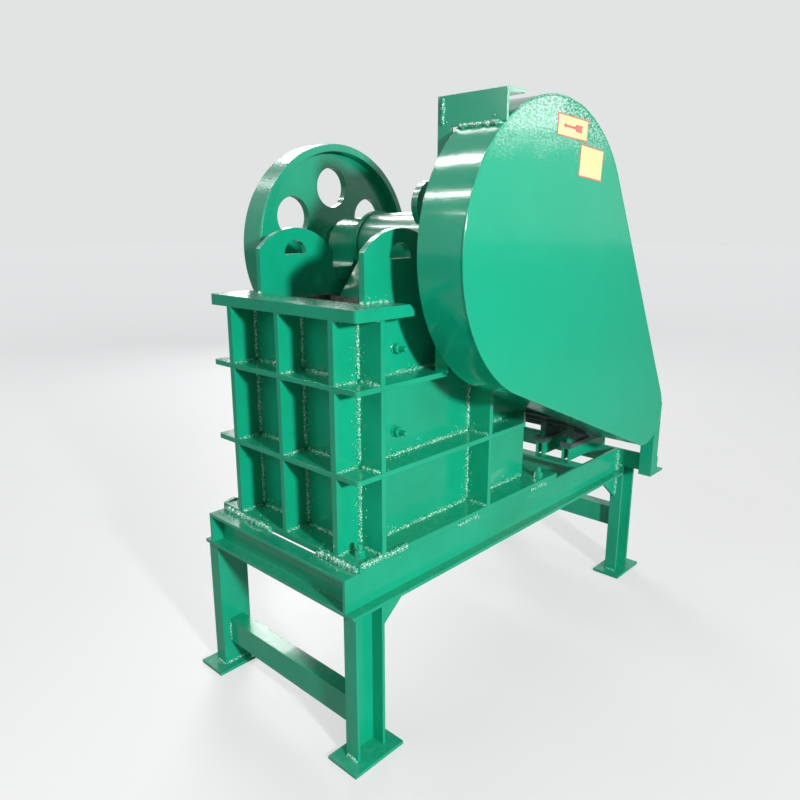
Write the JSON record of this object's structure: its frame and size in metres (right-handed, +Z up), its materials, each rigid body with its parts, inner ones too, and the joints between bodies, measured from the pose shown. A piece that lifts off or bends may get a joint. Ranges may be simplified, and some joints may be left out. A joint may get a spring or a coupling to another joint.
{
  "type": "jaw crusher",
  "caption": "Small jaw crusher on a stand of channel and angle steel, with a toothed crushing chamber, eccentric shaft, flywheel, belt guard and electric motor.",
  "frame": {"origin": "on the floor, at the middle of the machine's bounding box", "axes": "+X towards the motor end, +Y along the eccentric shaft towards the flywheel, +Z up"},
  "size_m": [1.36, 0.82, 1.429],
  "materials": {
    "green_enamel": "gloss green enamel over welded plate and castings",
    "turned_steel": "turned, lightly oiled",
    "manganese_steel": "as cast, dark",
    "toggle_iron": "as cast",
    "spring_steel": "oil-tempered wire",
    "belt_rubber": "matt",
    "motor_paint": "satin grey-green paint",
    "dark_iron": "turned rim, as-cast web"
  },
  "bodies": {
    "frame": {"base_plate": "green_enamel", "bearing_housing_far": "green_enamel", "bearing_housing_near": "green_enamel", "bearing_seats": "green_enamel", "belt_guard": "green_enamel", "cheek_plates": "manganese_steel", "drive_belts": "belt_rubber", "fan_cowl": "motor_paint", "fixed_jaw_plate": "manganese_steel", "foot_plates": "green_enamel", "front_channel": "green_enamel", "front_ribs": "green_enamel", "front_ring_bars": "green_enamel", "front_stretcher": "green_enamel", "front_wall": "green_enamel", "guard_bracket": "green_enamel", "guard_upright": "green_enamel", "leg_front_far": "green_enamel", "leg_front_near": "green_enamel", "leg_gussets": "green_enamel", "leg_rear_far": "green_enamel", "leg_rear_near": "green_enamel", "long_beam_far": "green_enamel", "long_beam_near": "green_enamel", "motor_channel": "green_enamel", "motor_frame": "motor_paint", "motor_rails": "green_enamel", "rear_angle": "green_enamel", "rear_stretcher": "green_enamel", "rear_wall": "green_enamel", "side_plate_far": "green_enamel", "side_plate_near": "green_enamel", "side_ribs_far": "green_enamel", "side_ribs_near": "green_enamel", "side_ring_bars_far": "green_enamel", "side_ring_bars_near": "green_enamel", "tension_rod": "turned_steel", "tension_spring": "spring_steel", "terminal_box": "motor_paint", "toggle_block": "green_enamel", "toggle_plate": "toggle_iron", "top_flange": "green_enamel"},
    "rotor": {"eccentric_shaft": "turned_steel", "flywheel": "green_enamel", "crusher_pulley": "dark_iron"},
    "jaw": {"jaw_lifting_eye": "green_enamel", "swing_jaw": "green_enamel", "swing_jaw_plate": "manganese_steel"},
    "motor_rotor": {"motor_shaft": "turned_steel", "motor_pulley": "dark_iron"}
  },
  "joints": [
    {"name": "shaft_spin", "type": "hinge", "parent": "frame", "child": "rotor", "pos_m": [-0.142, 0, 1.102], "axis": [0, 1, 0], "continuous": true},
    {"name": "jaw_on_crank", "type": "hinge", "parent": "rotor", "child": "jaw", "pos_m": [-0.142, 0, 1.11], "axis": [0, 1, 0], "continuous": true},
    {"name": "motor_spin", "type": "hinge", "parent": "frame", "child": "motor_rotor", "pos_m": [0.426, 0, 0.62], "axis": [0, 1, 0], "continuous": true}
  ],
  "couplings": [
    {"joint": "jaw_on_crank", "follows": "shaft_spin", "ratio": -1},
    {"joint": "motor_spin", "follows": "shaft_spin", "ratio": 4.6333}
  ]
}
